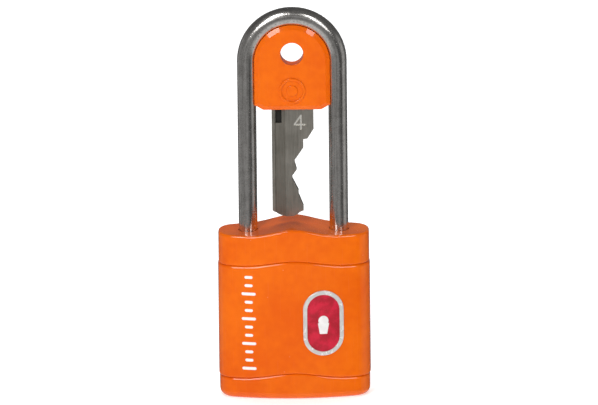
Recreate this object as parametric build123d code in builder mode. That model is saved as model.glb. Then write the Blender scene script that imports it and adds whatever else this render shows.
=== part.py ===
"""A small luggage padlock: plastic jacket, cast core, long shackle, wafer lock and its key.

Millimetres. The origin is the middle of the base, +X right, -Y to the front, +Z up.
The lock is closed with its bolt drawn back, and the key is parked inside the shackle.
"""
import os
from math import atan2, degrees, hypot, sqrt

from build123d import *

# ---------------------------------------------------------------- driving dimensions
# body
BODY_WIDTH = 30.0
BODY_DEPTH = 12.4
FACE_RADIUS = 45.8  # bow of the front and the back, in plan
SIDE_RADIUS = 16.7  # bow of the two sides
CORNER = 3.65  # plan radius of the corners
JACKET = 1.2  # wall of the plastic covers
TOP_Z = 33.5  # height of the shoulders
TOP_RISE = 1.4  # how far the middle of the top stands above them
TOP_BELL = 9.4  # half length of the top's raised middle
TOP_INSET = 0.11  # the top cap is this much smaller than the panel all round
TOP_EDGE = 0.5  # rounding of the top edge
BASE_INSET = 0.14
BASE_EDGE = 1.45
UPPER_SEAM_Z = 27.3
LOWER_SEAM_Z = 4.33
SEAM_RISE = 1.1
UPPER_LIP = 0.6  # rounding of a cover's top edge at a seam
LOWER_LIP = 0.3  # rounding of the bottom edge above it

# shackle
WIRE = 3.7
LEG_INSET = 6.05  # from the body's side to a leg's middle
ARCH_Z = 68.05  # height of the arch's middle
HEEL_END = 9.0
FOOT = 2.4  # full-width foot at the end of the heel leg
TOE_TIP = 1.5  # full-width tip below the toe's notch
LEG_CHAMFER = 0.4
NECK_CUT = 0.55  # depth of the flat and of the ring groove in the heel leg
LEG_PLAY = 0.1
LIFT_SPARE = 0.9  # the raised toe stands this far above the cap

# lock plug
PLUG_WALL = 0.95  # of the core, beside the plug
PLUG_PLAY = 0.05
PLUG_FACE = 0.5  # the plug's face lies this far above the base
FLANGE = 0.6
FLANGE_DEEP = 1.4
PLUG_TOP = 21.5
PLUG_NECK = 2.9
KEYWAY_WALL = 0.9  # of the plug, beside the blade
KEYWAY_PLAY = 0.1
KEYWAY_TOP = 19.0
PLUG_CHAMFER = 0.2

# wafers
WAFER = 0.6
WAFER_WIDE = 3.4
WAFER_PLAY = 0.05
WAFER_DROP = 0.4  # how far a wafer leaves the plug with no key in it
EAR_WIDE = 0.8
EAR_LONG = 0.5
EAR_X = 1.9
FIRST_WAFER = 4.6  # from the key's shoulder
WAFER_PITCH = 3.2
CUTS = [4.5, 4.0, 5.2, 6.15]  # blade left standing at each wafer

# plug clip, cam and bolt
CLIP = 0.5
CLIP_EDGE = 0.2  # the clip stays this far inside the cam chamber
CHAMBER = 0.4  # the cam's chamber is wider than the plug by this much all round
CAM = 1.5
CAM_RADIUS = 3.5
CRANK = 1.4  # from the plug's axis to the drive pin
CRANK_PIN = 0.5
CRANK_LEAD = 0.211  # most that a turning crank of length 1 runs ahead of an even push
TANG = 3.2
TANG_HIGH = 0.6
SCREW_HEAD = 0.85
SCREW_HEAD_DEEP = 0.6
SCREW_SHANK = 0.45
SCREW_LONG = 3.6
SCREW_SLOT = 0.3
CLIP_MOUTH = 0.4
SLOT_PLAY = 0.03
BOLT_GAP = 0.25  # between the cam and the bolt
BOLT = 2.4
BOLT_WIDE = 6.4
BOLT_REAR = 4.4
NOSE_WIDE = 3.0
BOLT_PLAY = 0.15
BITE = 1.3  # how far the thrown bolt reaches into the toe

# pins, rivets and springs
HEEL_PIN = 1.2
RIVET = 1.2
RIVET_HEAD = 2.0
HEAD_DEEP = 0.5
HEAD_SUNK = 0.4
SEAT = 0.6
SEAT_BOSS = 1.2
SPRING_WIRE = 0.5
SPRING_MEAN = 1.35
SPRING_TURNS = 6
FINE_WIRE = 0.12
FINE_MEAN = 0.3
FINE_TURNS = 6

# badge on the front panel
BADGE_X = 5.7
BADGE_Z = 15.8
BADGE_WIDE = 8.0
BADGE_HIGH = 13.3
BADGE_RIM = 0.8
RIM_EDGE = 0.14
MARK_HEAD = 1.0  # radius of the keyhole sign's round head
MARK_FOOT = 2.2
BADGE_SUNK = 0.35
RIM_PROUD = 0.28
INLAY_PROUD = 0.1
MARK_PROUD = 0.2

# key
BOW_GAP = 0.15
BOW_FRONT = 1.7  # from the blade's middle plane
BOW_BACK = 1.3
BOW_BASE = 58.3
BOW_LIP = 0.5  # the front of the bow is wider by this much
BOW_LIP_DEEP = 0.55
BOW_SLOPE = 0.85  # width of the slope round the front
BOW_SLOPE_DEEP = 0.4
BOW_EDGE = 0.35
BOW_CUT_X = 1.75
BOW_CUT_Z = 1.0
RING_HOLE = 4.5
RING_HOLE_Z = 69.7
RING_HOLE_EDGE = 0.2
BOSS_Z = 62.2
BOSS = 2.6
BOSS_RIM = 0.5
BOSS_DOT = 1.1
BOSS_HIGH = 0.25
BOSS_EDGE = 0.15
BLADE = 1.7
BLADE_X = -1.0  # middle of the parked blade
SHOULDER_Z = 52.1
BLADE_LONG = 15.75  # shoulder to tip
COLLAR_WIDE = 8.25
COLLAR_Z = 54.2
COLLAR_TAPER = 1.25
COLLAR_FLAT = 0.1  # height of the step below the collar's taper
BLADE_TAIL_Z = 65.0
CUT_FLAT = 0.4  # half the flat at the bottom of a cut
CUT_RAMP = 2.9  # the first cut's ramp starts this far above it
CREST = 0.35
CREST_LIMIT = 0.6  # neighbouring cuts closer in depth than this have a crest between them
# the blade's rounded end, as shares of its width and heights above its tip
TIP = [(0.86, 0.82), (0.8, 0.41), (0.66, 0.0), (0.34, 0.0), (0.19, 0.41), (0.1, 0.82), (0.0, 1.2)]
SLOT_LOW = 0.75  # deep slot in the groove, under the bow
SLOT_HIGH = 1.95
SLOT_Z = 55.4
SLOT_DEEP = 0.75
NUMERAL_X = 1.35
NUMERAL_Z = 55.6
NUMERAL_LINE = 0.36
NUMERAL_DEEP = 0.18
# the stamped figure's slanted stroke, cross stroke and stem, each from one end to the other
NUMERAL_STROKES = [((0.3, 1.4), (-1.0, -0.5)), ((-1.0, -0.5), (1.0, -0.5)), ((0.3, 1.4), (0.3, -1.4))]
WARD_LOW = 0.6  # the milled groove runs from here to WARD_HIGH off the blade's straight edge
WARD_HIGH = 2.6
WARD_DEEP = 0.32
WARD_PLAY = 0.1

NEAR = 0.01  # two positions this close count as the same

# ---------------------------------------------------------------- sizes that follow
half_w = BODY_WIDTH / 2
half_d = BODY_DEPTH / 2
face_centre = FACE_RADIUS - half_d  # how far a face's bow is centred beyond the middle
side_centre = SIDE_RADIUS - half_w
span = hypot(face_centre, side_centre)
along = (span**2 + (FACE_RADIUS - CORNER) ** 2 - (SIDE_RADIUS - CORNER) ** 2) / (2 * span)
across = sqrt((FACE_RADIUS - CORNER) ** 2 - along**2)
corner_x = (across * face_centre - along * side_centre) / span
corner_y = (along * face_centre + across * side_centre) / span - face_centre
seam_bell = corner_x  # half length of a seam's raised middle

core_top = TOP_Z - JACKET
leg_x = half_w - LEG_INSET
leg_bore = WIRE / 2 + LEG_PLAY
arch_inside = leg_x - WIRE / 2

plug_r = half_d - JACKET - PLUG_WALL - PLUG_PLAY
plug_bore = plug_r + PLUG_PLAY
flange_r = plug_r + FLANGE
flange_top = PLUG_FACE + FLANGE_DEEP
blade_wide = 2 * (plug_r - KEYWAY_WALL)
wafer_z = [PLUG_FACE + FIRST_WAFER + WAFER_PITCH * i for i in range(len(CUTS))]
wafer_out = blade_wide - min(CUTS)  # a wafer's travel as the uncut blade passes it
wafer_slot = plug_bore + wafer_out + WAFER_PLAY

clip_z = PLUG_TOP + PLUG_PLAY
cam_z = clip_z + CLIP + 2 * PLUG_PLAY
cam_top = cam_z + CAM
chamber_r = plug_r + CHAMBER
bolt_z = cam_top + BOLT_GAP
bolt_top = bolt_z + BOLT
bolt_throw = 2 * CRANK
toe_face = leg_x - WIRE / 2
nose_rest = toe_face + BITE - bolt_throw
bolt_body = toe_face - 2 * LEG_PLAY - bolt_throw - 3 * BOLT_PLAY  # the wide part stays off the toe
slot_half = CRANK_PIN + CRANK_LEAD * CRANK + SLOT_PLAY  # room for the crank's uneven push
ear_pocket = 2 * FINE_MEAN + FINE_WIRE + 2 * WAFER_PLAY
spring_end = EAR_X + EAR_LONG
well_z = 2 * JACKET
notch_low = bolt_z - 2 * BOLT_PLAY
toe_end = notch_low - TOE_TIP
foot_top = HEEL_END + FOOT
lift = TOP_Z - toe_end + LIFT_SPARE
heel_pin_z = foot_top + lift + HEEL_PIN / 2 + 2 * LEG_PLAY
flat_x = -leg_x + WIRE / 2 - NECK_CUT
heel_pin_x = flat_x + HEEL_PIN / 2 + LEG_PLAY

blade_left = BLADE_X - blade_wide / 2
tip_z = SHOULDER_Z - BLADE_LONG
bow_half = arch_inside - BOW_GAP


def core_depth(x):
    """Half the core's depth at a distance from the middle."""
    return sqrt((FACE_RADIUS - JACKET) ** 2 - x**2) - face_centre


heel_pin_half = core_depth(heel_pin_x) - HEAD_DEEP

# x and z of each core rivet: one above the bolt, one left of the plug, two below the toe leg
rivets = [
    (0.0, (bolt_top + core_top) / 2),
    (-(plug_bore + leg_x - leg_bore) / 2, flange_top + RIVET_HEAD / 2),
    (leg_x, flange_top + 2 * RIVET_HEAD),
    (leg_x, toe_end - 2 * RIVET_HEAD),
]


# ---------------------------------------------------------------- shapes used more than once
def outline(inset=0.0, mode=Mode.ADD):
    """The body's bowed plan, smaller by inset all round, in the current sketch."""
    front = half_d - inset
    side = half_w - inset
    share = (FACE_RADIUS - inset) / (FACE_RADIUS - CORNER)
    face_end = Vector(corner_x * share, (corner_y + face_centre) * share - face_centre)
    share = (SIDE_RADIUS - inset) / (SIDE_RADIUS - CORNER)
    side_end = Vector((corner_x + side_centre) * share - side_centre, corner_y * share)
    corner = Vector(corner_x, corner_y)
    middle = corner + (face_end + side_end - 2 * corner).normalized() * (CORNER - inset)
    with BuildLine() as edge:
        for turn in (1, -1):
            fx, fy = face_end.X * turn, face_end.Y * turn
            sx, sy = side_end.X * turn, side_end.Y * turn
            mx, my = middle.X * turn, middle.Y * turn
            ThreePointArc((-fx, fy), (0, front * turn), (fx, fy))
            ThreePointArc((fx, fy), (mx, my), (sx, sy))
            ThreePointArc((sx, sy), (side * turn, 0), (sx, -sy))
            ThreePointArc((sx, -sy), (mx, -my), (fx, -fy))
    make_face(edge.edges(), mode=mode)


def wave(z, rise, bell):
    """A level line with a smooth rise in its middle, in the current line."""
    Line((-BODY_WIDTH, z), (-bell, z))
    if rise:
        Spline((-bell, z), (0, z + rise), (bell, z), tangents=[(1, 0), (1, 0)])
    else:
        Line((-bell, z), (bell, z))
    Line((bell, z), (BODY_WIDTH, z))


def cover(inset, low, low_rise, high, high_rise, high_bell=seam_bell):
    """A solid slice of the body between two waved lines, in the current part."""
    with BuildSketch(Plane.XY.offset(low - JACKET)) as plan:
        outline(inset)
    extrude(plan.sketch, amount=high - low + high_rise + 2 * JACKET)
    with BuildSketch(Plane.XZ) as side:
        with BuildLine() as edge:
            wave(low, low_rise, seam_bell)
            wave(high, high_rise, high_bell)
            Line((-BODY_WIDTH, low), (-BODY_WIDTH, high))
            Line((BODY_WIDTH, low), (BODY_WIDTH, high))
        make_face(edge.edges())
    extrude(side.sketch, amount=BODY_DEPTH, both=True, mode=Mode.INTERSECT)


def rim_edges(piece, low, high):
    """The edges round a cover's outside whose ends both lie between two heights."""
    near = piece.edges().filter_by_position(Axis.Z, low - NEAR, high + NEAR)
    return near.filter_by(lambda e: abs(e.center().Y) > NEAR or abs(e.center().X) > half_w - JACKET)


def front_layer(inner, outer):
    """The front skin beside the badge, between two insets, in the current part."""
    with BuildSketch(Plane.XY.offset(BADGE_Z - BADGE_HIGH)) as plan:
        outline(outer)
        outline(inner, mode=Mode.SUBTRACT)
    extrude(plan.sketch, amount=2 * BADGE_HIGH)


def badge_shape(margin, mode=Mode.ADD):
    """The badge's upright oval, smaller by margin all round, in the current sketch."""
    with Locations((BADGE_X, BADGE_Z)):
        SlotOverall(BADGE_HIGH - 2 * margin, BADGE_WIDE - 2 * margin, rotation=90, mode=mode)


def coil(centre, length, mean, wire, turns, direction=(0, 0, 1)):
    """An open coil spring from its centre point along a direction, in the current part."""
    with BuildLine():
        path = Helix((length - wire) / turns, length - wire, mean, center=centre, direction=direction)
    with BuildSketch(Plane(origin=path @ 0, z_dir=path % 0)) as ring:
        Circle(wire / 2)
    sweep(ring.sketch, path=path, is_frenet=True)


def rod(x, z, radius, half_long):
    """A round bar from front to back, in the current part."""
    with BuildSketch(Plane.XZ) as ring:
        with Locations((x, z)):
            Circle(radius)
    extrude(ring.sketch, amount=half_long, both=True)


def bow_plan(half):
    """The bow's arched outline, with clipped lower corners, in the current sketch."""
    low = half - BOW_CUT_X
    with BuildLine() as edge:
        ThreePointArc((-half, ARCH_Z), (0, ARCH_Z + half), (half, ARCH_Z))
        Line((half, ARCH_Z), (half, BOW_BASE + BOW_CUT_Z))
        Line((half, BOW_BASE + BOW_CUT_Z), (low, BOW_BASE))
        Line((low, BOW_BASE), (-low, BOW_BASE))
        Line((-low, BOW_BASE), (-half, BOW_BASE + BOW_CUT_Z))
        Line((-half, BOW_BASE + BOW_CUT_Z), (-half, ARCH_Z))
    make_face(edge.edges())


def blade_edge():
    """The blade's cut edge from collar to tip, as distances from its straight edge and heights."""
    points = [
        (COLLAR_WIDE, COLLAR_Z),
        (COLLAR_WIDE - COLLAR_TAPER, SHOULDER_Z + COLLAR_FLAT),
        (blade_wide, SHOULDER_Z),
    ]
    for i, cut in enumerate(CUTS):
        z = SHOULDER_Z - FIRST_WAFER - WAFER_PITCH * i
        if i == 0:
            points.append((blade_wide, z + CUT_RAMP))
        elif abs(cut - CUTS[i - 1]) < CREST_LIMIT:
            points.append((max(cut, CUTS[i - 1]) + CREST, z + WAFER_PITCH / 2))
        points += [(cut, z + CUT_FLAT), (cut, z - CUT_FLAT)]
    points += [(width * blade_wide, tip_z + height) for width, height in TIP]
    return [(blade_left + width, z) for width, z in points]


def save(piece, name):
    """Label a finished piece and write it to its own file."""
    piece.part.label = name
    export_step(piece.part, f"parts/{name}.step")


os.makedirs("parts", exist_ok=True)

# ---------------------------------------------------------------- plastic covers
with BuildPart() as top_cap:
    cover(TOP_INSET, UPPER_SEAM_Z, SEAM_RISE, TOP_Z, TOP_RISE, TOP_BELL)
    fillet(rim_edges(top_cap, TOP_Z, TOP_Z + TOP_RISE), TOP_EDGE)
    fillet(rim_edges(top_cap, UPPER_SEAM_Z, UPPER_SEAM_Z + SEAM_RISE), LOWER_LIP)
    with BuildSketch(Plane.XY):
        outline(JACKET)
    extrude(amount=core_top, mode=Mode.SUBTRACT)
    with BuildSketch(Plane.XY.offset(core_top)):
        with Locations((-leg_x, 0), (leg_x, 0)):
            Circle(leg_bore)
    extrude(amount=TOP_Z, mode=Mode.SUBTRACT)
save(top_cap, "top_cap")

with BuildPart() as badge_pocket:
    front_layer(BADGE_SUNK, -RIM_PROUD - JACKET)
    with BuildSketch(Plane.XZ):
        badge_shape(0)
    extrude(amount=BODY_DEPTH, mode=Mode.INTERSECT)

with BuildPart() as middle_sleeve:
    cover(0, LOWER_SEAM_Z, SEAM_RISE, UPPER_SEAM_Z, SEAM_RISE)
    fillet(rim_edges(middle_sleeve, UPPER_SEAM_Z, UPPER_SEAM_Z + SEAM_RISE), UPPER_LIP)
    fillet(rim_edges(middle_sleeve, LOWER_SEAM_Z, LOWER_SEAM_Z + SEAM_RISE), LOWER_LIP)
    with BuildSketch(Plane.XY):
        outline(JACKET)
    extrude(amount=TOP_Z, mode=Mode.SUBTRACT)
    add(badge_pocket.part, mode=Mode.SUBTRACT)
save(middle_sleeve, "middle_sleeve")

with BuildPart() as base_cap:
    cover(BASE_INSET, 0, 0, LOWER_SEAM_Z, SEAM_RISE)
    fillet(rim_edges(base_cap, LOWER_SEAM_Z, LOWER_SEAM_Z + SEAM_RISE), UPPER_LIP)
    fillet(base_cap.faces().sort_by(Axis.Z)[0].edges(), BASE_EDGE)
    with BuildSketch(Plane.XY.offset(JACKET)):
        outline(JACKET)
    extrude(amount=TOP_Z, mode=Mode.SUBTRACT)
    with BuildSketch(Plane.XY):
        Circle(flange_r + 3 * PLUG_PLAY)
    extrude(amount=JACKET, mode=Mode.SUBTRACT)
save(base_cap, "base_cap")

# ---------------------------------------------------------------- badge
with BuildPart() as badge_rim:
    front_layer(BADGE_SUNK, -RIM_PROUD)
    with BuildSketch(Plane.XZ):
        badge_shape(0)
        badge_shape(BADGE_RIM, mode=Mode.SUBTRACT)
    extrude(amount=BODY_DEPTH, mode=Mode.INTERSECT)
    fillet(badge_rim.faces().sort_by(Axis.Y)[0].edges(), RIM_EDGE)
save(badge_rim, "badge_rim")

with BuildPart() as badge_inlay:
    front_layer(BADGE_SUNK, -INLAY_PROUD)
    with BuildSketch(Plane.XZ):
        badge_shape(BADGE_RIM)
    extrude(amount=BODY_DEPTH, mode=Mode.INTERSECT)
save(badge_inlay, "badge_inlay")

with BuildPart() as badge_keyhole:
    front_layer(-INLAY_PROUD, -MARK_PROUD)
    with BuildSketch(Plane.XZ):
        with Locations((BADGE_X, BADGE_Z + MARK_HEAD / 2)):
            Circle(MARK_HEAD)
        with Locations((BADGE_X, BADGE_Z - MARK_FOOT / 2)):
            Trapezoid(MARK_FOOT, MARK_FOOT, 100)
    extrude(amount=BODY_DEPTH, mode=Mode.INTERSECT)
save(badge_keyhole, "badge_keyhole")

# ---------------------------------------------------------------- cast core
with BuildPart() as core:
    with BuildSketch(Plane.XY.offset(JACKET)):
        outline(JACKET)
    extrude(amount=core_top - JACKET)
    # plug: counterbore for its flange, bore, and the chamber for clip and cam
    with BuildSketch(Plane.XY.offset(JACKET)):
        Circle(flange_r + PLUG_PLAY)
    extrude(amount=flange_top + PLUG_PLAY - JACKET, mode=Mode.SUBTRACT)
    with BuildSketch(Plane.XY.offset(JACKET)):
        Circle(plug_bore)
    extrude(amount=PLUG_TOP - JACKET, mode=Mode.SUBTRACT)
    with BuildSketch(Plane.XY.offset(PLUG_TOP)):
        Circle(chamber_r)
    extrude(amount=bolt_z - BOLT_PLAY - PLUG_TOP, mode=Mode.SUBTRACT)
    # slots at both sides of the plug, which its wafers drop into
    with BuildSketch(Plane.XY.offset(wafer_z[0] - WAFER)):
        Rectangle(2 * wafer_slot, WAFER_WIDE + 4 * WAFER_PLAY)
    extrude(amount=wafer_z[-1] - wafer_z[0] + 2 * WAFER, mode=Mode.SUBTRACT)
    # channel for the bolt and its nose
    with BuildSketch(Plane.XY.offset(bolt_z - BOLT_PLAY)):
        with Locations((-BOLT_REAR - BOLT_PLAY, 0)):
            Rectangle(
                BOLT_REAR + bolt_body + bolt_throw + 2 * BOLT_PLAY,
                BOLT_WIDE + 2 * BOLT_PLAY,
                align=(Align.MIN, Align.CENTER),
            )
        Rectangle(leg_x, NOSE_WIDE + 2 * BOLT_PLAY, align=(Align.MIN, Align.CENTER))
    extrude(amount=BOLT + 2 * BOLT_PLAY, mode=Mode.SUBTRACT)
    # bores for the two legs, and the spring's well below the heel leg
    with BuildSketch(Plane.XY.offset(core_top)):
        with Locations((leg_x, 0)):
            Circle(leg_bore)
    extrude(amount=toe_end - LEG_PLAY - core_top, mode=Mode.SUBTRACT)
    with BuildSketch(Plane.XY.offset(core_top)):
        with Locations((-leg_x, 0)):
            Circle(leg_bore)
    extrude(amount=well_z - core_top, mode=Mode.SUBTRACT)

with BuildPart() as core_holes:
    rod(heel_pin_x, heel_pin_z, HEEL_PIN / 2, heel_pin_half)
    for x, z in rivets:
        rod(x, z, RIVET / 2, core_depth(x))
        for side in (1, -1):
            with BuildSketch(Plane.XZ.offset(side * (core_depth(x) - HEAD_SUNK - HEAD_DEEP))):
                with Locations((x, z)):
                    Circle(RIVET_HEAD / 2 + LEG_PLAY / 2)
            extrude(amount=side * BODY_DEPTH)

with BuildPart() as core_front:
    add(core.part)
    add(core_holes.part, mode=Mode.SUBTRACT)
    split(bisect_by=Plane.XZ, keep=Keep.TOP)
save(core_front, "core_front")

with BuildPart() as core_back:
    add(core.part)
    add(core_holes.part, mode=Mode.SUBTRACT)
    split(bisect_by=Plane.XZ, keep=Keep.BOTTOM)
save(core_back, "core_back")

with BuildPart() as core_rivets:
    for x, z in rivets:
        face = core_depth(x) - HEAD_SUNK
        rod(x, z, RIVET / 2, face)
        for side in (1, -1):
            with BuildSketch(Plane.XZ.offset(side * (face - HEAD_DEEP))):
                with Locations((x, z)):
                    Circle(RIVET_HEAD / 2)
            extrude(amount=side * HEAD_DEEP)
save(core_rivets, "core_rivets")

# ---------------------------------------------------------------- shackle, its spring and its pin
with BuildPart() as shackle:
    with BuildLine(Plane.XZ):
        Line((-leg_x, HEEL_END), (-leg_x, ARCH_Z))
        ThreePointArc((-leg_x, ARCH_Z), (0, ARCH_Z + leg_x), (leg_x, ARCH_Z))
        Line((leg_x, ARCH_Z), (leg_x, toe_end))
    with BuildSketch(Plane.XY.offset(HEEL_END)):
        with Locations((-leg_x, 0)):
            Circle(WIRE / 2)
    sweep()
    for end in (HEEL_END, toe_end):
        chamfer(shackle.edges().filter_by(lambda e: abs(e.center().Z - end) < NEAR), LEG_CHAMFER)
    # long flat that slides past the heel pin, and the groove that lets the raised shackle turn
    with BuildSketch(Plane.XY.offset(foot_top)):
        with Locations((flat_x, 0)):
            Rectangle(WIRE, 2 * WIRE, align=(Align.MIN, Align.CENTER))
    extrude(amount=heel_pin_z + HEEL_PIN - foot_top, mode=Mode.SUBTRACT)
    with BuildSketch(Plane.XY.offset(foot_top)):
        with Locations((-leg_x, 0)):
            Circle(WIRE)
            Circle(WIRE / 2 - NECK_CUT, mode=Mode.SUBTRACT)
    extrude(amount=HEEL_PIN + 3 * LEG_PLAY, mode=Mode.SUBTRACT)
    # notch for the bolt
    with BuildSketch(Plane.XY.offset(notch_low)):
        with Locations((toe_face + BITE + LEG_PLAY, 0)):
            Rectangle(WIRE, 2 * WIRE, align=(Align.MAX, Align.CENTER))
    extrude(amount=BOLT + 4 * BOLT_PLAY, mode=Mode.SUBTRACT)
save(shackle, "shackle")

with BuildPart() as heel_pin:
    rod(heel_pin_x, heel_pin_z, HEEL_PIN / 2, heel_pin_half)
save(heel_pin, "heel_pin")

with BuildPart() as spring_seat:
    with BuildSketch(Plane.XY.offset(well_z)):
        with Locations((-leg_x, 0)):
            Circle(WIRE / 2)
    extrude(amount=SEAT)
    with BuildSketch(Plane.XY.offset(well_z + SEAT)):
        with Locations((-leg_x, 0)):
            Circle(SPRING_MEAN - SPRING_WIRE)
    extrude(amount=SEAT_BOSS)
save(spring_seat, "spring_seat")

with BuildPart() as shackle_spring:
    low = well_z + SEAT + SPRING_WIRE / 2
    coil((-leg_x, 0, low), HEEL_END - SPRING_WIRE / 2 - low, SPRING_MEAN, SPRING_WIRE, SPRING_TURNS)
save(shackle_spring, "shackle_spring")

# ---------------------------------------------------------------- plug and wafers
with BuildPart() as plug:
    with BuildSketch(Plane.XY.offset(PLUG_FACE)):
        Circle(flange_r)
    extrude(amount=FLANGE_DEEP)
    with BuildSketch(Plane.XY.offset(flange_top)):
        Circle(plug_r)
    extrude(amount=PLUG_TOP - flange_top)
    with BuildSketch(Plane.XY.offset(PLUG_TOP)):
        Circle(PLUG_NECK)
    extrude(amount=cam_z - PLUG_TOP)
    with BuildSketch(Plane.XY.offset(cam_z)):
        Rectangle(TANG, TANG)
    extrude(amount=TANG_HIGH)
    chamfer(plug.faces().sort_by(Axis.Z)[0].edges(), PLUG_CHAMFER)
    # keyway, with a rib that fits the blade's groove
    with BuildSketch(Plane.XY.offset(PLUG_FACE)):
        Rectangle(blade_wide + 2 * KEYWAY_PLAY, BLADE + 2 * KEYWAY_PLAY)
        with Locations((blade_wide / 2 - (WARD_LOW + WARD_HIGH) / 2, -BLADE / 2 - KEYWAY_PLAY)):
            Rectangle(
                WARD_HIGH - WARD_LOW - 2 * WARD_PLAY,
                WARD_DEEP,
                align=(Align.CENTER, Align.MIN),
                mode=Mode.SUBTRACT,
            )
    extrude(amount=KEYWAY_TOP - PLUG_FACE, mode=Mode.SUBTRACT)
    for z in wafer_z:
        with BuildSketch(Plane.XY.offset(z - WAFER / 2 - WAFER_PLAY)):
            Rectangle(3 * plug_r, WAFER_WIDE + 2 * WAFER_PLAY)
        extrude(amount=WAFER + 2 * WAFER_PLAY, mode=Mode.SUBTRACT)
        # side pocket for the wafer's ear and its spring
        with BuildSketch(Plane.XY.offset(z - ear_pocket / 2)):
            with Locations((-spring_end, 0)):
                Rectangle(
                    spring_end + EAR_X + EAR_LONG + WAFER_DROP + WAFER_PLAY,
                    WAFER_WIDE / 2 + EAR_WIDE + WAFER_PLAY,
                    align=(Align.MIN, Align.MIN),
                )
        extrude(amount=ear_pocket, mode=Mode.SUBTRACT)
    with BuildSketch(Plane.XY.offset(cam_top)):
        Circle(SCREW_SHANK)
    extrude(amount=-SCREW_LONG, mode=Mode.SUBTRACT)
save(plug, "plug")

for i, cut in enumerate(CUTS):
    with BuildPart() as wafer:
        with BuildSketch(Plane.XY.offset(wafer_z[i] - WAFER / 2)):
            Rectangle(2 * plug_r, WAFER_WIDE)
            Circle(plug_r - WAFER_PLAY, mode=Mode.INTERSECT)
            with Locations((EAR_X + EAR_LONG / 2, 0)):
                Rectangle(EAR_LONG, WAFER_WIDE / 2 + EAR_WIDE, align=(Align.CENTER, Align.MIN))
            with Locations((blade_wide / 2 - cut - WAFER_PLAY, 0)):
                Rectangle(
                    3 * plug_r,
                    BLADE + 4 * WAFER_PLAY,
                    align=(Align.MIN, Align.CENTER),
                    mode=Mode.SUBTRACT,
                )
        extrude(amount=WAFER)
    save(wafer, f"wafer_{i + 1}")

with BuildPart() as wafer_springs:
    spring_y = WAFER_WIDE / 2 + WAFER_PLAY + FINE_MEAN + FINE_WIRE / 2
    start = -spring_end + FINE_WIRE / 2
    for z in wafer_z:
        coil((start, spring_y, z), EAR_X - FINE_WIRE / 2 - start, FINE_MEAN, FINE_WIRE, FINE_TURNS, (1, 0, 0))
save(wafer_springs, "wafer_springs")

# ---------------------------------------------------------------- clip, cam and bolt
with BuildPart() as plug_clip:
    with BuildSketch(Plane.XY.offset(clip_z)):
        Circle(chamber_r - CLIP_EDGE)
        Circle(PLUG_NECK, mode=Mode.SUBTRACT)
        Rectangle(2 * PLUG_NECK - CLIP_MOUTH, 2 * chamber_r, align=(Align.CENTER, Align.MAX), mode=Mode.SUBTRACT)
    extrude(amount=CLIP)
save(plug_clip, "plug_clip")

with BuildPart() as cam:
    with BuildSketch(Plane.XY.offset(cam_z)):
        Circle(CAM_RADIUS)
    extrude(amount=CAM)
    with BuildSketch(Plane.XY.offset(cam_z)):
        Rectangle(TANG, TANG)
    extrude(amount=TANG_HIGH, mode=Mode.SUBTRACT)
    with BuildSketch(Plane.XY.offset(cam_z)):
        Circle(SCREW_SHANK)
    extrude(amount=CAM, mode=Mode.SUBTRACT)
    with BuildSketch(Plane.XY.offset(cam_top)):
        Circle(SCREW_HEAD)
    extrude(amount=-SCREW_HEAD_DEEP, mode=Mode.SUBTRACT)
    with BuildSketch(Plane.XY.offset(cam_top)):
        with Locations((-CRANK, 0)):
            Circle(CRANK_PIN)
    extrude(amount=bolt_top - BOLT_PLAY - cam_top)
save(cam, "cam")

with BuildPart() as cam_screw:
    with BuildSketch(Plane.XY.offset(cam_top)):
        Circle(SCREW_HEAD)
    extrude(amount=-SCREW_HEAD_DEEP)
    with BuildSketch(Plane.XY.offset(cam_top)):
        Circle(SCREW_SHANK)
    extrude(amount=-SCREW_LONG)
    with BuildSketch(Plane.XY.offset(cam_top)):
        Rectangle(2 * SCREW_HEAD, SCREW_SLOT)
    extrude(amount=-SCREW_HEAD_DEEP / 2, mode=Mode.SUBTRACT)
save(cam_screw, "cam_screw")

with BuildPart() as locking_bolt:
    with BuildSketch(Plane.XY.offset(bolt_z)):
        with Locations((-BOLT_REAR, 0)):
            Rectangle(BOLT_REAR + bolt_body, BOLT_WIDE, align=(Align.MIN, Align.CENTER))
        Rectangle(nose_rest, NOSE_WIDE, align=(Align.MIN, Align.CENTER))
        # the drive pin sweeps a half circle, so its slot runs from the middle to the crank's reach
        with Locations((-CRANK, CRANK / 2)):
            SlotOverall(CRANK + 2 * slot_half, 2 * slot_half, rotation=90, mode=Mode.SUBTRACT)
    extrude(amount=BOLT)
save(locking_bolt, "locking_bolt")

# ---------------------------------------------------------------- key
with BuildPart() as key_blade:
    with BuildSketch(Plane.XZ):
        with BuildLine():
            edge = blade_edge()
            Polyline((edge[0][0], BLADE_TAIL_Z), *edge, (blade_left, BLADE_TAIL_Z), close=True)
        make_face()
    extrude(amount=BLADE / 2, both=True)
    with BuildSketch(Plane.XZ.offset(BLADE / 2 - WARD_DEEP)):
        with Locations((blade_left + WARD_LOW, 0)):
            Rectangle(WARD_HIGH - WARD_LOW, BLADE_TAIL_Z, align=(Align.MIN, Align.MIN))
    extrude(amount=BLADE, mode=Mode.SUBTRACT)
    with BuildSketch(Plane.XZ.offset(BLADE / 2 - SLOT_DEEP)):
        with Locations((blade_left + SLOT_LOW, SLOT_Z)):
            Rectangle(SLOT_HIGH - SLOT_LOW, BOW_BASE - SLOT_Z, align=(Align.MIN, Align.MIN))
    extrude(amount=BLADE, mode=Mode.SUBTRACT)
    with BuildSketch(Plane.XZ.offset(BLADE / 2 - NUMERAL_DEEP)):
        for start, end in NUMERAL_STROKES:
            reach = Vector(end) - Vector(start)
            with Locations(Vector(NUMERAL_X, NUMERAL_Z) + Vector(start) + reach / 2):
                turned = degrees(atan2(reach.Y, reach.X))
                SlotCenterToCenter(reach.length, NUMERAL_LINE, rotation=turned)
    extrude(amount=BLADE, mode=Mode.SUBTRACT)
save(key_blade, "key_blade")

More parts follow.
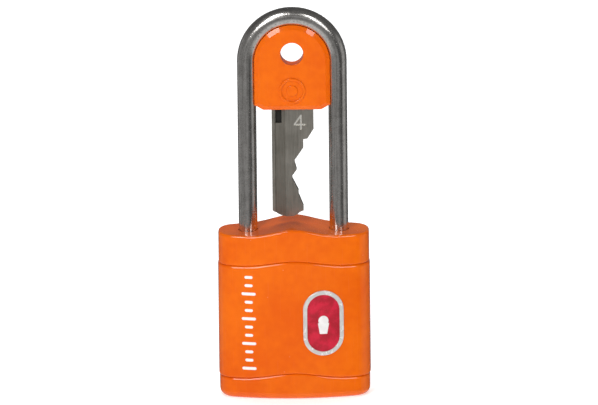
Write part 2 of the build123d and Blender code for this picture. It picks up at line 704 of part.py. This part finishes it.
with BuildPart() as key_bow:
    with BuildSketch(Plane.XZ.offset(-BOW_BACK)):
        bow_plan(bow_half)
    extrude(amount=BOW_BACK + BOW_FRONT)
    with BuildSketch(Plane.XZ.offset(BOW_FRONT - BOW_LIP_DEEP)):
        bow_plan(bow_half + BOW_LIP)
    extrude(amount=BOW_LIP_DEEP)
    front = key_bow.faces().sort_by(Axis.Y)[0]
    chamfer(front.edges(), BOW_SLOPE, BOW_SLOPE_DEEP, reference=front)
    fillet(key_bow.faces().sort_by(Axis.Y)[-1].edges(), BOW_EDGE)
    with BuildSketch(Plane.XZ.offset(-BOW_BACK)):
        with Locations((0, RING_HOLE_Z)):
            Circle(RING_HOLE / 2)
    extrude(amount=BOW_BACK + BOW_FRONT, mode=Mode.SUBTRACT)
    ring_edges = key_bow.edges().filter_by(GeomType.CIRCLE)
    fillet(ring_edges.filter_by(lambda e: abs(e.radius - RING_HOLE / 2) < NEAR), RING_HOLE_EDGE)
    with BuildSketch(Plane.XZ.offset(BOW_FRONT)):
        with Locations((0, BOSS_Z)):
            Circle(BOSS)
            Circle(BOSS - BOSS_RIM, mode=Mode.SUBTRACT)
            Circle(BOSS_DOT)
    extrude(amount=BOSS_HIGH)
    raised = key_bow.edges().filter_by_position(Axis.Y, -BOW_FRONT - BOSS_HIGH - NEAR, -BOW_FRONT - NEAR)
    fillet(raised, BOSS_EDGE)
    add(key_blade.part, mode=Mode.SUBTRACT)
save(key_bow, "key_bow")
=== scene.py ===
# %% [markdown]
# # A small luggage padlock
#
# The lock is a bowed orange plastic body in three bands, a long steel shackle with both legs in
# the body, and a key parked inside the shackle. The CAD frame holds every part in its place, in
# metres. This script gives the parts their finishes and sets up a camera and a small studio.

# %% Load the frame and keep its box
from math import cos, pi, radians, sin

import bmesh
import bpy
from mathutils import Matrix, Vector


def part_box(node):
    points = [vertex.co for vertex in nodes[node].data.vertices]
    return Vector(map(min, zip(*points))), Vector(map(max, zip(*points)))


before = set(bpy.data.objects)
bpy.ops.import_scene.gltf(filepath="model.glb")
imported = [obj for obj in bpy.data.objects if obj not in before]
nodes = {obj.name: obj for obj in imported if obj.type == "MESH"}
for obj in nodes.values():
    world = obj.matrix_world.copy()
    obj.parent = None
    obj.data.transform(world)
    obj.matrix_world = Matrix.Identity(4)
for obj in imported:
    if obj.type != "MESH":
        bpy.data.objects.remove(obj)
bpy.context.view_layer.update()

mm = 0.001

# %% [markdown]
# ## Sizes
#
# Every place comes from the frame. The shackle gives the legs and the arch, and its depth is the
# wire's thickness. The blade gives the face that its groove and its figure are measured from.

# %% Read the sizes that the finishes need
shackle_low, shackle_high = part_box("shackle")
blade_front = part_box("key_blade")[0].y

wire = shackle_high.y - shackle_low.y
leg_x = shackle_high.x - wire / 2
arch_z = shackle_high.z - wire / 2 - leg_x
print(f"wire {wire / mm:.2f} mm, legs at {leg_x / mm:.2f} mm, arch middle at {arch_z / mm:.2f} mm")

# %% [markdown]
# ## Camera
#
# A long lens from a little above the lock keeps the two legs of the shackle parallel. The camera
# is placed by its aim, its distance and its height angle, then rolled a very little.

# %% Place the camera
VIEW_HEIGHT = radians(16)
VIEW_DISTANCE = 3000 * mm
VIEW_WIDTH = 117.95 * mm
VIEW_ROLL = radians(0.6)
SENSOR_WIDTH = 36  # in millimetres, as Blender keeps it
NEAREST, FARTHEST = 0.01, 20
aim = Vector((1.12 * mm, 0, 38.89 * mm))

camera_data = bpy.data.cameras.new("camera")
camera_data.sensor_width = SENSOR_WIDTH
camera_data.lens = SENSOR_WIDTH * VIEW_DISTANCE / VIEW_WIDTH
camera_data.clip_start = NEAREST
camera_data.clip_end = FARTHEST
camera = bpy.data.objects.new("camera", camera_data)
back = Vector((0, -cos(VIEW_HEIGHT), sin(VIEW_HEIGHT)))
camera.location = aim + VIEW_DISTANCE * back
camera.rotation_mode = "QUATERNION"
turn = (-back).to_track_quat("-Z", "Y")
camera.rotation_quaternion = turn @ Matrix.Rotation(-VIEW_ROLL, 3, "Z").to_quaternion()
bpy.context.scene.collection.objects.link(camera)
bpy.context.scene.camera = camera
bpy.context.scene.view_settings.view_transform = "Standard"
print(f"lens {camera_data.lens:.1f} mm")

# %% [markdown]
# ## A small language for finishes
#
# A finish is a node tree, and long trees are hard to read. `Value` wraps one socket, so that
# `1 - mask` or `a * b + c` adds the Math nodes by itself. `Graph` holds one node tree, and its
# `node` method adds any other node from its type, its settings and its inputs. `Finish` is the
# graph of one material, with the maps that the finishes below share.

# %% Value: a socket that takes part in sums
class Value:
    def __init__(self, graph, socket):
        self.graph, self.socket = graph, socket

    def math(self, operation, *others):
        inputs = dict(enumerate((self, *others)))
        return self.graph.node("ShaderNodeMath", {"operation": operation}, inputs)["Value"]

    def __add__(self, other):
        return self.math("ADD", other)

    def __sub__(self, other):
        return self.math("SUBTRACT", other)

    def __rsub__(self, other):
        return (-self) + other

    def __mul__(self, other):
        return self.math("MULTIPLY", other)

    def __truediv__(self, other):
        return self.math("DIVIDE", other)

    def __neg__(self):
        return self.math("MULTIPLY", -1)

    def __abs__(self):
        return self.math("ABSOLUTE")

    __radd__, __rmul__ = __add__, __mul__

    def step(self, start, end):
        """0 at start and 1 at end, with a smooth change between."""
        inputs = {"Value": self, "From Min": start, "From Max": end}
        settings = {"interpolation_type": "SMOOTHSTEP"}
        return self.graph.node("ShaderNodeMapRange", settings, inputs)["Result"]


# %% Graph: one node tree
class Graph:
    def __init__(self, tree):
        self.tree = tree

    def node(self, kind, settings=None, inputs=None):
        """Adds a node and returns its outputs as Values, by name."""
        node = self.tree.nodes.new(kind)
        for name, value in (settings or {}).items():
            setattr(node, name, value)
        for name, value in (inputs or {}).items():
            if isinstance(value, Value):
                self.tree.links.new(value.socket, node.inputs[name])
            else:
                node.inputs[name].default_value = value
        return {socket.name: Value(self, socket) for socket in node.outputs if socket.enabled}

    def ramp(self, position, stops):
        """A number that runs straight from stop to stop, given as pairs of position and value."""
        node = self.tree.nodes.new("ShaderNodeValToRGB")
        self.tree.links.new(position.socket, node.inputs["Fac"])
        points = node.color_ramp.elements
        while len(points) < len(stops):
            points.new(0.5)
        for point, (where, value) in zip(points, stops):
            point.position = where
            point.color = (value, value, value, 1)
        return Value(self, node.outputs["Color"])


# %% Finish: one material and its maps
class Finish(Graph):
    def __init__(self, name, **constants):
        self.material = bpy.data.materials.new(name)
        self.material.use_nodes = True
        super().__init__(self.material.node_tree)
        self.shader = self.tree.nodes["Principled BSDF"]
        for socket, value in constants.items():
            self.shader.inputs[socket.replace("_", " ")].default_value = value
        self.place = self.node("ShaderNodeTexCoord")["Object"]
        parts = self.node("ShaderNodeSeparateXYZ", {}, {"Vector": self.place})
        self.x, self.y, self.z = parts["X"], parts["Y"], parts["Z"]

    def stretch(self, x=1.0, y=1.0, z=1.0, turn=(0, 0, 0), vector=None):
        """The object's own coordinates, turned and scaled."""
        inputs = {"Vector": vector or self.place, "Rotation": turn, "Scale": (x, y, z)}
        return self.node("ShaderNodeMapping", {}, inputs)["Vector"]

    def noise(self, scale, detail=2.0, rough=0.5, vector=None):
        """Cloudy values round 0.5, scale cells to the metre."""
        inputs = {"Vector": vector or self.place, "Scale": scale, "Detail": detail, "Roughness": rough}
        return self.node("ShaderNodeTexNoise", {}, inputs)["Fac"]

    def cells(self, scale, vector=None):
        """Distance to the nearest of scattered points, and a number for each of them."""
        inputs = {"Vector": vector or self.place, "Scale": scale}
        made = self.node("ShaderNodeTexVoronoi", {}, inputs)
        number = self.node("ShaderNodeSeparateColor", {}, {"Color": made["Color"]})["Red"]
        return made["Distance"], number

    def mix(self, factor, first, second):
        """A colour between two colours. A Mix node has its sockets once for each kind of value."""
        factor_in, first_in, second_in, colour_out = 0, 6, 7, 2
        node = self.tree.nodes.new("ShaderNodeMix")
        node.data_type = "RGBA"
        colours = [c if isinstance(c, Value) else (*c, 1) for c in (first, second)]
        for index, value in zip((factor_in, first_in, second_in), (factor, *colours)):
            if isinstance(value, Value):
                self.tree.links.new(value.socket, node.inputs[index])
            else:
                node.inputs[index].default_value = value
        return Value(self, node.outputs[colour_out])

    def set(self, **sockets):
        """Links values to the shader's sockets."""
        for name, value in sockets.items():
            self.tree.links.new(value.socket, self.shader.inputs[name.replace("_", " ")])

    def bump(self, height, depth, strength=1.0):
        """Turns a height between 0 and 1 into a dent or rise of a depth in metres."""
        inputs = {"Height": height, "Distance": depth, "Strength": strength}
        self.set(Normal=self.node("ShaderNodeBump", {}, inputs)["Normal"])

    def put_on(self, *names):
        """This finish becomes the only one of these CAD nodes."""
        for name in names:
            nodes[name].data.materials.clear()
            nodes[name].data.materials.append(self.material)
        print(self.material.name, "on", ", ".join(names))


# %% [markdown]
# ## Studio
#
# A glossy lock shows its room more than its own colour. The walls are drawn as bands of light
# and shade round the lock, which give the steel a grey middle, a dark stripe and a bright one.
# The light below stands for the pale table, so the floor itself is left out of reflections. Two
# tall soft lamps in front draw the highlights on the rounded lips, and a wide one overhead fills
# the shadows without showing in the gloss.

# %% Make the floor
FLOOR_SIZE = 6.0
FLOOR_GREY = 0.93
FLOOR_ROUGH = 0.9
FLOOR_GLOW = 0.5
floor_mesh = bmesh.new()
bmesh.ops.create_grid(floor_mesh, x_segments=1, y_segments=1, size=FLOOR_SIZE)
floor_data = bpy.data.meshes.new("floor")
floor_mesh.to_mesh(floor_data)
floor_mesh.free()
floor = bpy.data.objects.new("floor", floor_data)
bpy.context.scene.collection.objects.link(floor)
floor.visible_glossy = False

floor_material = bpy.data.materials.new("floor_white")
floor_material.use_nodes = True
floor_shader = floor_material.node_tree.nodes["Principled BSDF"]
floor_shader.inputs["Base Color"].default_value = (FLOOR_GREY, FLOOR_GREY, FLOOR_GREY, 1)
floor_shader.inputs["Roughness"].default_value = FLOOR_ROUGH
floor_shader.inputs["Emission Color"].default_value = (1, 1, 1, 1)
floor_shader.inputs["Emission Strength"].default_value = FLOOR_GLOW
floor_data.materials.append(floor_material)

# %% Light the room
room = bpy.data.worlds.new("room")
bpy.context.scene.world = room
room.use_nodes = True
air = Graph(room.node_tree)
FLOOR_LIGHT = 0.62
CEILING_LIGHT = 0.10
# the heights, as parts of a unit sphere, over which the walls give way to the floor and the ceiling
FLOOR_EDGE = (-0.6, -0.32)
CEILING_EDGE = (0.12, 0.4)
# brightness of the walls, by the angle from the front in degrees, left to right
WALLS = [
    (-180, 0.20),
    (-128, 0.11),
    (-114, 0.38),
    (-100, 0.21),
    (12, 0.21),
    (32, 0.06),
    (54, 0.06),
    (64, 0.33),
    (90, 0.40),
    (108, 0.22),
    (125, 0.07),
    (180, 0.20),
]
facing = air.node("ShaderNodeTexCoord")["Generated"]
sides = air.node("ShaderNodeSeparateXYZ", {}, {"Vector": facing})
angle = sides["X"].math("ARCTAN2", -sides["Y"]) / (2 * pi) + 0.5
walls = air.ramp(angle, [(where / 360 + 0.5, value) for where, value in WALLS])
below = 1 - sides["Z"].step(*FLOOR_EDGE)
above = sides["Z"].step(*CEILING_EDGE)
light = walls * (1 - below) * (1 - above) + below * FLOOR_LIGHT + above * CEILING_LIGHT
seen = air.node("ShaderNodeLightPath")["Is Camera Ray"]
light = light * (1 - seen) + seen
backdrop = air.tree.nodes["Background"]
air.tree.links.new(light.socket, backdrop.inputs["Strength"])
backdrop.inputs["Color"].default_value = (1, 1, 1, 1)


def lamp(name, place, size, watts):
    """A soft rectangular lamp that faces the lock."""
    data = bpy.data.lights.new(name, "AREA")
    data.shape = "RECTANGLE"
    data.size, data.size_y = size
    data.energy = watts
    piece = bpy.data.objects.new(name, data)
    piece.location = place
    piece.rotation_mode = "QUATERNION"
    piece.rotation_quaternion = (aim - Vector(place)).to_track_quat("-Z", "Y")
    bpy.context.scene.collection.objects.link(piece)
    return piece


lamps = [
    lamp("left_lamp", (-0.42, -0.80, 0.72), (0.28, 0.8), 6.6),
    lamp("right_lamp", (0.45, -0.82, 0.62), (0.16, 0.7), 2.2),
    lamp("top_lamp", (0.0, 0.3, 1.0), (0.9, 0.5), 6),
]
lamps[-1].visible_glossy = False
print("lamps:", [piece.name for piece in lamps])

# %% [markdown]
# ## Orange plastic
#
# The covers and the key's bow are moulded in one glossy orange plastic. Moulded gloss is never
# perfect: the colour drifts a little with the melt, the polish has a faint orange peel, and
# handling leaves hairlines and dust. Two stretched noises, crossed, make the hairlines.

# %% Make the orange plastic
ORANGE = (0.84, 0.150, 0.0012)
ORANGE_DEEP = (0.75, 0.105, 0.0008)
WHITE_INK = (0.86, 0.85, 0.83)


def hairlines(finish, turns, across=5200, along=130, share=0.68):
    """Sparse fine scratches in several directions, 1 on a scratch."""
    total = 0
    for turn in turns:
        grain = finish.noise(1.0, 1.0, vector=finish.stretch(across, across, along, turn))
        total = grain.step(share, share + 0.06) + total
    return total.math("MINIMUM", 1.0)


def orange_plastic(name):
    """The plastic, with its colour before any print, its roughness and its height."""
    plastic = Finish(name, IOR=1.5, Coat_Weight=0.75, Coat_Roughness=0.02, Specular_IOR_Level=0.1)
    drift = plastic.noise(75, 3)
    mottle = plastic.noise(640, 2)
    colour = plastic.mix((drift * 0.7 + mottle * 0.3).step(0.3, 0.7), ORANGE_DEEP, ORANGE)
    lines = hairlines(plastic, [(0, radians(24), 0), (0, radians(-57), 0.3), (0, radians(81), 0)])
    distance, number = plastic.cells(950)
    specks = (1 - distance.step(0.06, 0.13)) * number.step(0.9, 0.92)
    colour = plastic.mix(specks * 0.22, colour, (0.95, 0.62, 0.42))
    peel = plastic.noise(1300, 2)
    rough = 0.11 + drift * 0.07 + lines * 0.16 + specks * 0.2
    height = peel * 0.5 + specks * 0.4 - lines * 0.3
    return plastic, colour, rough, height


plastic, colour, rough, height = orange_plastic("orange_plastic")
plastic.set(Base_Color=colour, Roughness=rough)
plastic.bump(height, 0.006 * mm)
plastic.put_on("top_cap", "base_cap", "key_bow")

# %% [markdown]
# ## Print on the front panel
#
# A column of white marks is pad printed down the left of the panel. It is drawn here as a plain
# tick scale: rounded bars, with every third one longer. A bar is the set of points closer than
# its half thickness to a short level line, and that distance is a sum of coordinates.

# %% Make the printed panel
TICK_PITCH = 1.7 * mm
TICK_THICK = 0.62 * mm
TICK_LONG, TICK_SHORT = 1.1 * mm, 0.5 * mm
PRINT_X = -9.0 * mm
PRINT_LOW, PRINT_HIGH = 5.6 * mm, 26.0 * mm
PRINT_END = 0.01 * mm  # the column stops over this height
INK_EDGE = 0.03 * mm  # softness of a mark's outline

panel, colour, rough, height = orange_plastic("printed_orange_plastic")
count = (panel.z - PRINT_LOW) / TICK_PITCH
row = count.math("FLOOR")
up = (count.math("FRACT") - 0.5) * TICK_PITCH
is_long = row.math("MODULO", 3.0).math("COMPARE", 0.0, 0.1)
half = is_long * (TICK_LONG - TICK_SHORT) + TICK_SHORT
beside = (abs(panel.x - PRINT_X) - half).math("MAXIMUM", 0.0)
reach = (beside * beside + up * up).math("SQRT")
started = panel.z.step(PRINT_LOW, PRINT_LOW + PRINT_END)
ended = panel.z.step(PRINT_HIGH, PRINT_HIGH + PRINT_END)
on_front = 1 - panel.y.step(-1 * mm, 0)
ink = (1 - reach.step(TICK_THICK / 2 - INK_EDGE, TICK_THICK / 2)) * (started * (1 - ended)) * on_front
worn = panel.noise(3500, 3).step(0.28, 0.36)
ink = ink * (0.75 + worn * 0.25)
panel.set(Base_Color=panel.mix(ink, colour, WHITE_INK), Roughness=rough + ink * 0.2)
panel.bump(height + ink * 1.5, 0.006 * mm)
panel.put_on("middle_sleeve")

# %% [markdown]
# ## Drawn steel
#
# The shackle is drawn wire, bent and lightly polished. Its marks run along the wire and turn with
# the bend, so they are laid out round the wire's own middle line: across is the distance from
# that line in the shackle's plane, and along is the height on the legs or the angle on the arch.

# %% Make the shackle's steel
STEEL = (0.80, 0.775, 0.745)
STEEL_DARK = (0.46, 0.44, 0.415)
steel = Finish("drawn_steel", Metallic=1.0)
rise = (steel.z - arch_z).math("MAXIMUM", 0.0)
radius = (steel.x * steel.x + rise * rise).math("SQRT")
across = radius - leg_x
along = rise.math("ARCTAN2", abs(steel.x)) * leg_x + steel.z.math("MINIMUM", arch_z)
joined = steel.node("ShaderNodeCombineXYZ", {}, {"X": across, "Y": steel.y, "Z": along})["Vector"]
streaks = steel.noise(1.0, 3, 0.6, vector=steel.stretch(5200, 5200, 90, vector=joined))
blotch = steel.noise(420, 4, 0.6)
grit = steel.noise(3000, 3, 0.65)
distance, number = steel.cells(1900)
pits = (1 - distance.step(0.12, 0.34)) * number.step(0.55, 0.6)
colour = steel.mix((streaks * 0.4 + blotch * 0.3 + grit * 0.3).step(0.36, 0.6), STEEL_DARK, STEEL)
colour = steel.mix(pits * 0.6, colour, (0.16, 0.15, 0.14))
steel.set(Base_Color=colour, Roughness=0.15 + streaks * 0.14 + pits * 0.2)
steel.bump(streaks * 0.3 + grit * 0.5 - pits, 0.012 * mm)
steel.put_on("shackle")

# %% [markdown]
# ## Nickel silver
#
# The key's blade is punched from sheet and milled. The flat keeps fine marks along its length and a
# grey brown tarnish. The milled groove and the slot are darkened as painted shade, the slot nearly
# black, while the stamped figure's floor is bright. All three are told apart by their depth behind the
# front face.

# %% Make the blade's nickel silver
nickel = Finish("nickel_silver", Metallic=1.0)
grain = nickel.noise(1.0, 3, 0.6, vector=nickel.stretch(6500, 6500, 260))
cloud = nickel.noise(330, 4, 0.55)
marks = hairlines(nickel, [(0, radians(38), 0), (0, radians(-20), 0), (0, radians(72), 0)], 6500, 300)


def deeper(start, end):
    """0 above the first depth behind the blade's front face and 1 below the second."""
    return nickel.y.step(blade_front + start * mm, blade_front + end * mm)


front_half = 1 - nickel.y.step(0, 0.1 * mm)
groove_shade = deeper(0.06, 0.14) * front_half
slot_shade = deeper(0.36, 0.5) * front_half
stamped = deeper(0.12, 0.16) * (1 - deeper(0.22, 0.28))
colour = nickel.mix((grain * 0.5 + cloud * 0.5).step(0.3, 0.7), (0.38, 0.355, 0.305), (0.56, 0.53, 0.47))
# painted shade: darker in the milled groove and the slot, and nearly black deep in the slot
colour = nickel.mix(groove_shade * 0.5, colour, (0.13, 0.12, 0.10))
colour = nickel.mix(stamped, colour, (0.98, 0.96, 0.90))
colour = nickel.mix(slot_shade * 0.85, colour, (0.02, 0.02, 0.02))
nickel.set(Base_Color=colour, Roughness=0.3 + grain * 0.14 - marks * 0.1 + cloud * 0.08 + groove_shade * 0.15)
nickel.bump(grain * 0.6 + cloud * 0.3 - marks * 0.6, 0.007 * mm)
nickel.put_on("key_blade")

# %% [markdown]
# ## Badge
#
# The badge has a bright plated rim, a red enamel face and a white keyhole sign. Enamel is clear
# over colour, so it takes a strong coat, and the colour under it is a little uneven.

# %% Make the badge's three finishes
plate = Finish("plated_rim", Metallic=0.35, Coat_Weight=0.6, Coat_Roughness=0.05)
haze = plate.noise(900, 4)
plate.set(
    Base_Color=plate.mix(haze.step(0.3, 0.7), (0.74, 0.73, 0.71), (0.86, 0.85, 0.83)),
    Roughness=0.2 + haze * 0.12,
)
plate.bump(haze, 0.004 * mm)
plate.put_on("badge_rim")

enamel = Finish("red_enamel", Coat_Weight=1.0, Coat_Roughness=0.04, IOR=1.52)
cloud = enamel.noise(500, 3)
distance, number = enamel.cells(5200)
flake = (1 - distance.step(0.15, 0.35)) * number.step(0.6, 0.7)
colour = enamel.mix(cloud.step(0.35, 0.65), (0.40, 0.002, 0.018), (0.62, 0.004, 0.035))
enamel.set(
    Base_Color=enamel.mix(flake * 0.25, colour, (0.9, 0.12, 0.16)),
    Roughness=0.16 + cloud * 0.08,
)
enamel.bump(cloud, 0.01 * mm)
enamel.put_on("badge_inlay")

white = Finish("white_enamel", Coat_Weight=1.0, Coat_Roughness=0.05)
cloud = white.noise(800, 3)
white.set(
    Base_Color=white.mix(cloud.step(0.3, 0.7), (0.78, 0.76, 0.75), (0.88, 0.87, 0.86)),
    Roughness=0.2 + cloud * 0.1,
)
white.bump(cloud, 0.008 * mm)
white.put_on("badge_keyhole")

# %% [markdown]
# ## Works inside
#
# The plug is turned brass, so its face shows rings round its axis. The wafers and the spring seat
# are stamped brass, the core is cast zinc with a fine skin, and the small parts are plain steel.

# %% Make the brass
brass = Finish("turned_brass", Metallic=1.0)
radius = (brass.x * brass.x + brass.y * brass.y).math("SQRT")
rings = (radius * 2 * pi / (0.12 * mm)).math("SINE") * 0.5 + 0.5
cloud = brass.noise(380, 4)
wobble = brass.noise(2200, 2)
colour = brass.mix(cloud.step(0.3, 0.7), (0.50, 0.34, 0.13), (0.74, 0.55, 0.26))
brass.set(Base_Color=colour, Roughness=0.22 + cloud * 0.18 + wobble * 0.05)
brass.bump(rings * 0.5 + wobble * 0.5, 0.006 * mm)
brass.put_on("plug", "spring_seat", "wafer_1", "wafer_2", "wafer_3", "wafer_4")

# %% Make the cast zinc
zinc = Finish("cast_zinc", Metallic=1.0)
skin = zinc.noise(1800, 4, 0.6)
flow = zinc.noise(120, 3, 0.6, vector=zinc.stretch(1, 1, 0.3))
colour = zinc.mix((skin * 0.5 + flow * 0.5).step(0.35, 0.65), (0.33, 0.34, 0.36), (0.52, 0.53, 0.55))
zinc.set(Base_Color=colour, Roughness=0.42 + skin * 0.2)
zinc.bump(skin, 0.02 * mm)
zinc.put_on("core_front", "core_back", "cam")

# %% Make the small steel parts
def small_steel(name, dark, light, rough):
    """Plain steel with a fine skin and a few marks."""
    piece = Finish(name, Metallic=1.0)
    skin = piece.noise(2600, 3)
    stain = piece.noise(500, 4, 0.6)
    piece.set(
        Base_Color=piece.mix((skin * 0.5 + stain * 0.5).step(0.3, 0.7), dark, light),
        Roughness=rough + stain * 0.15,
    )
    piece.bump(skin, 0.006 * mm)
    return piece


small_steel("pin_steel", (0.34, 0.34, 0.35), (0.58, 0.58, 0.59), 0.25).put_on(
    "heel_pin", "core_rivets", "cam_screw", "locking_bolt"
)
small_steel("spring_steel", (0.14, 0.14, 0.15), (0.34, 0.34, 0.36), 0.22).put_on(
    "shackle_spring", "wafer_springs", "plug_clip"
)
